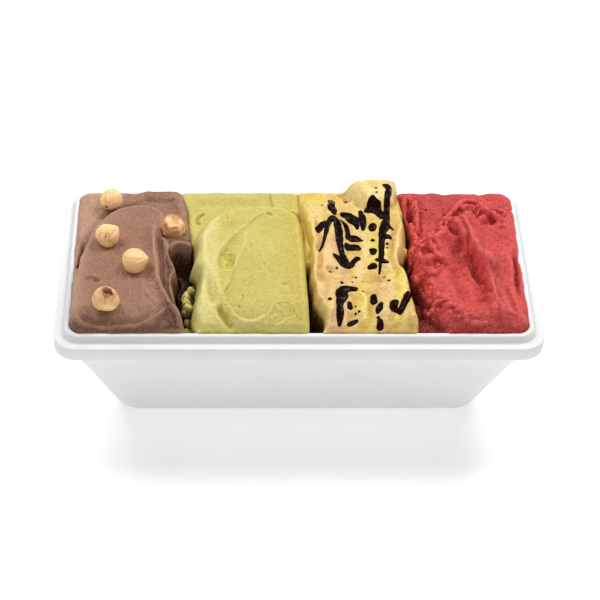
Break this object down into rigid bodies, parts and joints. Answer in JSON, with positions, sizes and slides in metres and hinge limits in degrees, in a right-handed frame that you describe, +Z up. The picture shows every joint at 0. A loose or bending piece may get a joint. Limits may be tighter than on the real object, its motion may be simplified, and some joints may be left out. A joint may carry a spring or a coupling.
{
  "type": "gelato tub",
  "caption": "Rectangular white foam takeaway tub filled with chocolate, pistachio, custard and raspberry gelato, with hazelnuts and chocolate drizzle.",
  "frame": {"origin": "centre of the tub's underside, on the surface it stands on", "axes": "+Z up, +X along the tub's length with the chocolate at -X and the raspberry at +X, -Y towards the viewer"},
  "size_m": [0.26, 0.132, 0.0984],
  "materials": {
    "white_foam": "matte expanded polystyrene foam, smooth moulded skin",
    "chocolate_gelato": "creamy frozen gelato, soft sheen",
    "pistachio_gelato": "creamy frozen gelato with fine pores",
    "custard_gelato": "creamy frozen gelato, soft sheen",
    "raspberry_sorbet": "icy sorbet, fine grain",
    "chocolate_drizzle": "glossy set chocolate sauce",
    "hazelnut": "blanched roasted nut, dry"
  },
  "bodies": {
    "root": {"foam_tub": "white_foam", "chocolate_gelato": "chocolate_gelato", "pistachio_gelato": "pistachio_gelato", "custard_gelato": "custard_gelato", "raspberry_sorbet": "raspberry_sorbet", "hazelnut_1": "hazelnut", "hazelnut_2": "hazelnut", "hazelnut_3": "hazelnut", "hazelnut_4": "hazelnut", "hazelnut_5": "hazelnut"}
  },
  "joints": []
}
